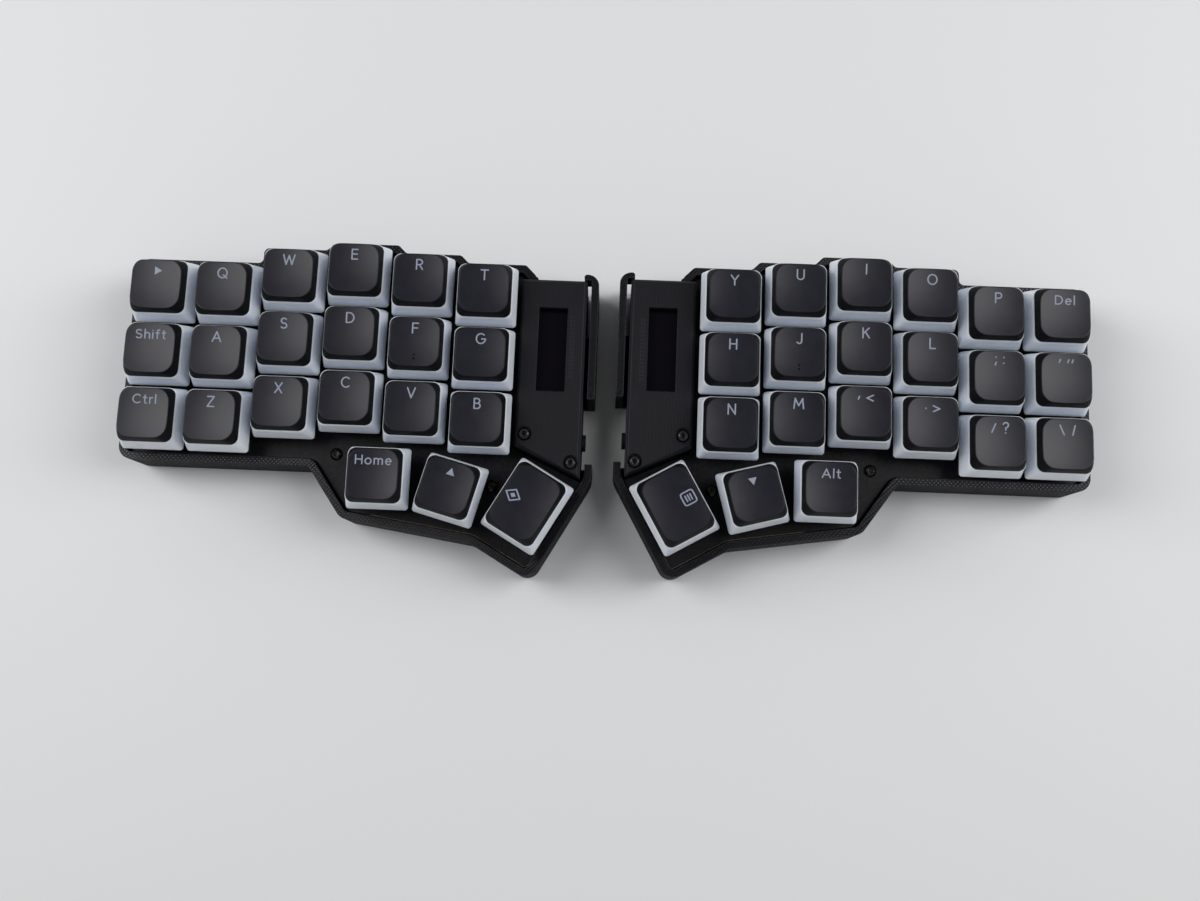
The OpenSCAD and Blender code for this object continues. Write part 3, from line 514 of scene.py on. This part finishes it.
class Look:
    """One material: a Principled shader and the nodes that feed it."""

    def __init__(self, name, **fixed):
        self.material = bpy.data.materials.new(name)
        self.material.use_nodes = True
        self.tree = self.material.node_tree
        self.shader = self.tree.nodes["Principled BSDF"]
        for socket, value in fixed.items():
            self.feed(socket.replace("_", " "), value)

    def feed(self, socket, value):
        """Sets or links one socket of the shader."""
        self._put(self.shader.inputs[socket], value)

    def blend(self, factor, colour, rough, specular):
        """Lays a second plain finish over the first one, by a factor that varies."""
        inputs = {"Base Color": colour, "Roughness": rough, "Specular IOR Level": specular}
        other = self.node("ShaderNodeBsdfPrincipled", {}, inputs, "BSDF")
        first = Value(self, self.shader.outputs["BSDF"])
        both = self.node("ShaderNodeMixShader", {}, {0: factor, 1: first, 2: other}, "Shader")
        self._put(self.tree.nodes["Material Output"].inputs["Surface"], both)

    def _put(self, target, value):
        if isinstance(value, Value):
            self.tree.links.new(value.socket, target)
        elif isinstance(value, (tuple, list)) and target.type == "RGBA" and len(value) == 3:
            target.default_value = (*value, 1)
        else:
            target.default_value = value

    def node(self, kind, settings, inputs, output):
        """Adds any node: its settings first, then its sockets, and gives the named output."""
        made = self.tree.nodes.new(kind)
        for key, value in settings.items():
            if key == "stops":
                fill_ramp(made.color_ramp, value)
            else:
                setattr(made, key, value)
        for key, value in inputs.items():
            self._put(made.inputs[key], value)
        return Value(self, made.outputs[output])

    def place(self):
        """Object coordinates, in metres."""
        return self.node("ShaderNodeTexCoord", {}, {}, "Object")

    def axis(self, vector, name):
        """One part of a vector."""
        return self.node("ShaderNodeSeparateXYZ", {}, {0: vector}, name)

    def noise(self, vector, per_mm, detail=2.0, roughness=0.5):
        """Cloudy pattern with so many cells per millimetre."""
        inputs = {"Vector": vector, "Scale": per_mm / MM, "Detail": detail, "Roughness": roughness}
        return self.node("ShaderNodeTexNoise", {}, inputs, "Fac")

    def stretch(self, vector, x, y, z):
        """Vector scaled along each axis."""
        return self.node("ShaderNodeMapping", {}, {"Vector": vector, "Scale": (x, y, z)}, "Vector")

    def spin(self, vector, degrees):
        """Vector turned about Z."""
        inputs = {"Vector": vector, "Rotation": (0, 0, math.radians(degrees))}
        return self.node("ShaderNodeMapping", {}, inputs, "Vector")

    def lines(self, vector, pitch_mm, direction, wobble=0.0):
        """Rounded lines at a pitch in millimetres, across one axis of vector.

        The wave node's phase is 20 times the scaled coordinate, so a period is 2 pi / 20 of it.
        """
        scale = 2 * math.pi / 20 / (pitch_mm * MM)
        inputs = {"Vector": vector, "Scale": scale, "Distortion": wobble, "Detail": 1.0}
        return self.node("ShaderNodeTexWave", {"bands_direction": direction}, inputs, "Fac")

    def ramp(self, value, *stops):
        """Colour picked by a number from stops of place and colour."""
        return self.node("ShaderNodeValToRGB", {"stops": stops}, {"Fac": value}, "Color")

    def mix(self, factor, a, b):
        """Colour a where factor is 0, and b where it is 1."""
        return self.node("ShaderNodeMix", {"data_type": "RGBA"}, {"Factor": factor, 6: a, 7: b}, 2)

    def upward(self):
        """1 on faces that look up or down, 0 on upright ones."""
        normal = self.node("ShaderNodeNewGeometry", {}, {}, "True Normal")
        tall = self.axis(normal, "Z")
        return tall * tall

    def bump(self, height, depth_mm, strength=1.0, normal=None):
        """Feeds the shader's normal with a relief, over another normal where one is given."""
        inputs = {"Height": height, "Distance": depth_mm * MM, "Strength": strength}
        if normal is not None:
            inputs["Normal"] = normal
        self.feed("Normal", self.node("ShaderNodeBump", {}, inputs, "Normal"))

    def soft_edge(self, radius_mm):
        """Normal as if the edges were rounded."""
        return self.node("ShaderNodeBevel", {"samples": 6}, {"Radius": radius_mm * MM}, "Normal")


def grey(v, tint=0.0):
    """Neutral colour with a little blue where tint is over 0."""
    return (v, v, v * (1 + tint))


def crown_look():
    """Charcoal crown: fine grain and a soft sheen in the dish, and a dull black band below it."""
    look = Look("crown charcoal", Specular_IOR_Level=0.41)
    place = look.place()
    dish = look.node("ShaderNodeAttribute", {"attribute_name": "finish"}, {}, "Fac")
    grain = look.noise(place, 9.0, 3.0, 0.6)
    cloud = look.noise(place, 0.35, 2.0)
    top = look.ramp(grain * 0.5 + cloud * 0.5, (0.3, grey(0.006, 0.85)), (0.7, grey(0.011, 0.85)))
    look.feed("Base Color", top)
    look.feed("Roughness", 0.32 + cloud * 0.06)
    look.bump(grain, 0.012, 0.6)
    look.blend(1 - dish, grey(0.004, 0.25), 0.55, 0.1)
    return look.material


def skirt_look():
    """Milky skirt: light scatters in it, and it is a little cloudy."""
    look = Look("skirt milky", Subsurface_Weight=0.6, Subsurface_Radius=(1.0, 1.05, 1.15),
                Subsurface_Scale=1.6 * MM, Specular_IOR_Level=0.4)
    place = look.place()
    cloud = look.noise(place, 0.3, 3.0)
    look.feed("Base Color", look.ramp(cloud, (0.3, (0.74, 0.785, 0.87)), (0.7, (0.8, 0.84, 0.91))))
    look.feed("Roughness", 0.3 + cloud * 0.12)
    return look.material


def legend_look():
    """Pale inlay of the legends."""
    return Look("legend inlay", Base_Color=LEGEND_INK, Roughness=0.5).material


def printed_look(name, shade, line_turn, pitch_mm, depth_mm, edge_mm, sheen, gloss,
                 infill_and_glint=0.0, dots=None, painted_edge_strips=()):
    """Printed plastic: layers round the walls, and the lines of the last layer on the tops.

    The lines lie at line_turn degrees, pitch_mm apart and depth_mm deep, and edges look rounded by
    edge_mm. Gloss says how much smoother level faces are than upright ones. With an infill factor over
    0, the infill's pale dots show along the middle of the wall tops, with a painted glint that makes
    them stronger further from the middle plane, and painted highlight lines run along the edges of
    those tops. The dots' strength grows with the square of the distance from that plane, and it equals
    the factor at FILLING_OUT. Ranges are in millimetres: dots is one of distances from the middle plane
    and one along the depth, with rows of paler dots within both, and each range of painted edge
    highlights is of distances from the middle plane, with a painted highlight strip along the edge there.
    """
    look = Look(name, Specular_IOR_Level=sheen)
    place = look.place()
    flat = look.upward()
    slope = flat * (1 - flat) * 4
    layers = look.lines(place, 0.2, "Z")
    paths = look.lines(look.spin(place, line_turn), pitch_mm, "X", 0.6)
    breaks = look.noise(look.stretch(look.spin(place, line_turn), 1.0, 3.0, 1.0), 1.6, 2.0)
    cloud = look.noise(place, 0.12, 3.0)
    weave = paths * (0.55 + breaks * 0.9)
    relief = weave * flat + layers * (1 - flat)
    across = look.axis(place, "X")

    def strip(near, far):
        return (across * across > (near * MM) ** 2) * (across * across < (far * MM) ** 2)

    tone = relief * 0.6 + cloud * 0.4 + layers * slope * 0.5
    colour = look.ramp(tone, (0.2, grey(shade * 0.5, 0.5)), (0.8, grey(shade * 1.8, 0.6)))
    if infill_and_glint:
        inner = look.axis(look.soft_edge(FILLING_INSET), "Z")
        cross = look.lines(look.spin(place, -line_turn), FILLING_PITCH, "X", 0.6)
        stipple = cross * look.lines(look.spin(place, line_turn), FILLING_PITCH, "X", 0.6)
        stipple = stipple * stipple * stipple
        # Pale infill dots, with a painted glint that grows stronger further from the middle plane
        dots_and_glint = stipple * (inner * inner > TOP_LEVEL) * across * across * (infill_and_glint / FILLING_OUT ** 2)
        colour = look.mix(dots_and_glint, colour, grey(0.11, 0.2))
        # Painted highlight: paler lines along the edges of the wall tops, where light catches them
        rubbed = (inner * inner < TOP_TURNED) * (flat > 0.5) * (0.25 + breaks * 0.5)
        colour = look.mix(rubbed, colour, grey(0.045, 0.3))
    if dots:
        along = look.axis(place, "Y")
        sides, (front, rear) = dots
        beside = (along > front * MM) * (along < rear * MM) * strip(*sides) * flat
        spots = beside * look.lines(place, 0.8, "X") * look.lines(place, 1.2, "Y")
        colour = look.mix(spots, colour, grey(shade * 4, 0.3))
    # Painted highlights: paler strips along the cover's bevel edges, where light catches them
    for edge in painted_edge_strips:
        colour = look.mix(strip(*edge) * (0.3 + breaks * 0.7), colour, grey(shade * 6, 0.3))
    look.feed("Base Color", colour)
    look.feed("Roughness", 0.6 - flat * gloss + cloud * 0.12 + breaks * 0.08)
    look.bump(relief, depth_mm, 0.9, look.soft_edge(edge_mm))
    return look.material


def board_look(name, board_top):
    """Black board with a satin mask; its edges, and its rim by the thumb keys, are bare beige laminate.

    What stands above board_top, in metres, is black all round.
    """
    look = Look(name, Specular_IOR_Level=0.2)
    place = look.place()
    board = 1 - (look.axis(place, "Z") > board_top)
    side = (1 - (look.upward() > 0.5)) * board
    lean = look.axis(look.soft_edge(0.3), "Z")
    rim = (lean * lean < RIM_TURNED) * (look.axis(place, "Y") < RIM_FROM) * board
    bare = look.node("ShaderNodeMath", {"operation": "MAXIMUM"}, {0: side, 1: rim}, "Value")
    flat = 1 - bare
    cloud = look.noise(place, 0.9, 3.0)
    fibre = look.noise(look.stretch(place, 1, 1, 6), 2.5, 2.0)
    face = look.ramp(cloud, (0.3, grey(0.004, 0.25)), (0.7, grey(0.013, 0.25)))
    edge = look.ramp(fibre, (0.3, tuple(c * 0.7 for c in LAMINATE)), (0.7, LAMINATE))
    look.feed("Base Color", look.mix(flat, edge, face))
    look.feed("Roughness", 0.62 - flat * 0.26 + cloud * 0.1)
    look.bump(fibre * bare, 0.02)
    return look.material


def moulded_look(name, shade, rough):
    """Moulded black plastic with a slight orange peel."""
    look = Look(name)
    place = look.place()
    peel = look.noise(place, 1.5, 2.0)
    look.feed("Base Color", look.ramp(peel, (0.3, grey(shade * 0.85)), (0.7, grey(shade * 1.15))))
    look.feed("Roughness", rough + peel * 0.1)
    look.bump(peel, 0.01)
    return look.material


def display_look(glass_z):
    """Display: dark glass above the given height in metres, blue-black board below it."""
    look = Look("display glass", Specular_IOR_Level=0.3)
    place = look.place()
    glass = look.axis(place, "Z") > glass_z
    cloud = look.noise(place, 0.15, 2.0)
    board = look.ramp(cloud, (0.3, (0.006, 0.008, 0.016)), (0.7, (0.012, 0.014, 0.026)))
    look.feed("Base Color", look.mix(glass, board, SCREEN))
    look.feed("Roughness", 0.5 - glass * 0.36 + cloud * 0.05)
    return look.material


def controller_look(socket_z, board_z):
    """Controller: black board and headers, and the socket's steel shell between two heights in metres."""
    look = Look("controller parts")
    place = look.place()
    tall = look.axis(place, "Z")
    cloud = look.noise(place, 0.4, 2.0)
    steel = (1 - (tall > board_z)) * (tall > socket_z)
    black = look.ramp(cloud, (0.3, grey(0.01)), (0.7, grey(0.018)))
    look.feed("Base Color", look.mix(steel, black, grey(0.55)))
    look.feed("Metallic", steel)
    look.feed("Roughness", 0.5 - steel * 0.22 + cloud * 0.06)
    return look.material


def screw_look():
    """Blackened steel, with brighter metal where the edges are rubbed."""
    look = Look("screw black", Metallic=0.85)
    place = look.place()
    scratch = look.noise(look.stretch(place, 1, 1, 8), 3.0, 3.0, 0.65)
    look.feed("Base Color", look.ramp(scratch, (0.35, grey(0.03)), (0.62, grey(0.05)), (0.8, grey(0.16))))
    look.feed("Roughness", 0.08 + scratch * 0.12)
    look.bump(scratch, 0.008, 0.4, look.soft_edge(0.45))
    return look.material


def dress(node, material):
    """Gives a CAD node's object its finish."""
    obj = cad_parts[node]
    obj.data.materials.clear()
    obj.data.materials.append(material)


def area_light(name, at, aim, size, power):
    """Soft rectangular lamp at a place, turned to look at another."""
    lamp = bpy.data.lights.new(name, "AREA")
    lamp.shape, lamp.size, lamp.size_y = "RECTANGLE", size[0], size[1]
    lamp.energy = power
    obj = bpy.data.objects.new(name, lamp)
    back = np.array(at, float) - np.array(aim, float)
    flat = math.hypot(back[0], back[1])
    obj.location = at
    obj.rotation_euler = (math.atan2(flat, back[2]), 0, math.atan2(back[0], -back[1]))
    bpy.context.scene.collection.objects.link(obj)


def studio_world():
    """Room light: pale towards the horizon and dark overhead, as under a dim ceiling."""
    world = bpy.data.worlds.new("studio")
    world.use_nodes = True
    nodes, links = world.node_tree.nodes, world.node_tree.links
    direction = nodes.new("ShaderNodeTexCoord")
    tall = nodes.new("ShaderNodeSeparateXYZ")
    ramp = nodes.new("ShaderNodeValToRGB")
    stops = [(at, tuple(level * c for c in ROOM_TINT)) for at, level in ROOM_LEVELS]
    fill_ramp(ramp.color_ramp, stops)
    links.new(direction.outputs["Generated"], tall.inputs[0])
    links.new(tall.outputs["Z"], ramp.inputs["Fac"])
    links.new(ramp.outputs["Color"], nodes["Background"].inputs["Color"])
    return world


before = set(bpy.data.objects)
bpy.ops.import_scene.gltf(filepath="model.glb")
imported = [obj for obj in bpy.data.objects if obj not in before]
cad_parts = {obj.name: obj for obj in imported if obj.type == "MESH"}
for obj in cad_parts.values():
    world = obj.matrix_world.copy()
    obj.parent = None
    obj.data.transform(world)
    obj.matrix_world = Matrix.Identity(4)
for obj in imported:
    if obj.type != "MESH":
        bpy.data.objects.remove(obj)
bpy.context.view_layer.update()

CROWN, SKIRT, LEGEND = crown_look(), skirt_look(), legend_look()
SHAPES = {length: (crown_shape(length), skirt_shape(length)) for length in (CAP_W, CAP_LONG)}
for key in sorted(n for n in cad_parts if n.startswith("key_")):
    low, high = (np.array(corner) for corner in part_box(key))
    length = CAP_LONG if key in LONG_KEYS else CAP_W
    turn = THUMB_TURN.get(key, 0)
    centre = (*((low + high) / 2)[:2], high[2] - CAP_H * MM)
    (crown_v, crown_f, finish), (skirt_v, skirt_f) = SHAPES[length]
    if key in HOMING_KEYS:
        bumps = [dome(0, HOMING_Y + dy, HOMING_R, length) for dy in (0, HOMING_GAP)]
        crown_v, crown_f = join([(crown_v, crown_f)] + bumps)
        finish = np.concatenate([finish, np.zeros(len(crown_v) - len(finish))])
    crown = mesh_object(key + "_crown", put(crown_v, turn, centre), crown_f, finish)
    skirt = mesh_object(key + "_skirt", put(skirt_v, turn, centre), skirt_f)
    word = WORDS.get(key, key[4:].upper())
    mark_v, mark_f = legend_shape(word, LEGEND_TURN.get(key, 0), length)
    legend = mesh_object(key + "_legend", put(mark_v, turn, centre), mark_f)
    for piece, material, slot in (
        (crown, CROWN, "keycap_crown"),
        (skirt, SKIRT, "keycap_skirt"),
        (legend, LEGEND, "legend"),
    ):
        piece.data.materials.append(material)
        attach(piece, key)
    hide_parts(key)

CASE = printed_look("printed case", shade=0.0025, line_turn=45, pitch_mm=0.75, depth_mm=0.07,
                    edge_mm=0.22, sheen=0.23, gloss=0.4, infill_and_glint=1.6)
COVER = printed_look("printed cover", shade=0.0048, line_turn=0, pitch_mm=0.42, depth_mm=0.03,
                     edge_mm=0.3, sheen=0.19, gloss=0.3, dots=COVER_DOTS, painted_edge_strips=COVER_EDGE_HIGHLIGHTS)
HOUSING = moulded_look("switch housing", shade=0.012, rough=0.4)
RUBBER = moulded_look("foot rubber", shade=0.02, rough=0.75)
SCREW = screw_look()
plate_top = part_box("left_switch_plate")[1][2]
board_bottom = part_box("left_circuit_board")[0][2]
PLATE = board_look("switch plate", plate_top + BOARD_SLACK)
BOARD = board_look("circuit board", board_bottom + BOARD_T * MM + BOARD_SLACK)
for side in ("left", "right"):
    glass_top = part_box(side + "_display")[1][2]
    controller_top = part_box(side + "_controller")[1][2]
    dress(side + "_case", CASE)
    dress(side + "_screen_cover", COVER)
    dress(side + "_switch_plate", PLATE)
    dress(side + "_circuit_board", BOARD)
    dress(side + "_switch_housings", HOUSING)
    dress(side + "_feet", RUBBER)
    dress(side + "_fasteners", SCREW)
    dress(side + "_display", display_look(glass_top - GLASS_T * MM))
    controller = controller_look(controller_top - SOCKET_DEPTH * MM, controller_top - CONTROLLER_T * MM)
    dress(side + "_controller", controller)

scene = bpy.context.scene
floor_mesh = bpy.data.meshes.new("floor")
square = [(x * FLOOR_HALF, y * FLOOR_HALF, 0) for x, y in ((-1, -1), (1, -1), (1, 1), (-1, 1))]
floor_mesh.from_pydata(square, [], [(0, 1, 2, 3)])
floor = bpy.data.objects.new("floor", floor_mesh)
floor_mesh.materials.append(Look("pale desk", Base_Color=DESK, Roughness=0.7).material)
scene.collection.objects.link(floor)

scene.world = studio_world()
for name, x in (("left softbox", -SOFTBOX_X), ("right softbox", SOFTBOX_X)):
    area_light(name, (x, SOFTBOX_Y, SOFTBOX_Z), (0, 0, 0), SOFTBOX_SIZE, SOFTBOX_POWER)

camera = bpy.data.cameras.new("camera")
camera.sensor_fit = "HORIZONTAL"
camera.sensor_width = 36.0
camera.lens = FOCAL_PX * camera.sensor_width / IMAGE_W
camera.clip_start = 0.01
view = bpy.data.objects.new("camera", camera)
view.location, view.rotation_euler = CAMERA_AT, CAMERA_TURN
scene.collection.objects.link(view)
scene.camera = view
scene.view_settings.view_transform = "Standard"
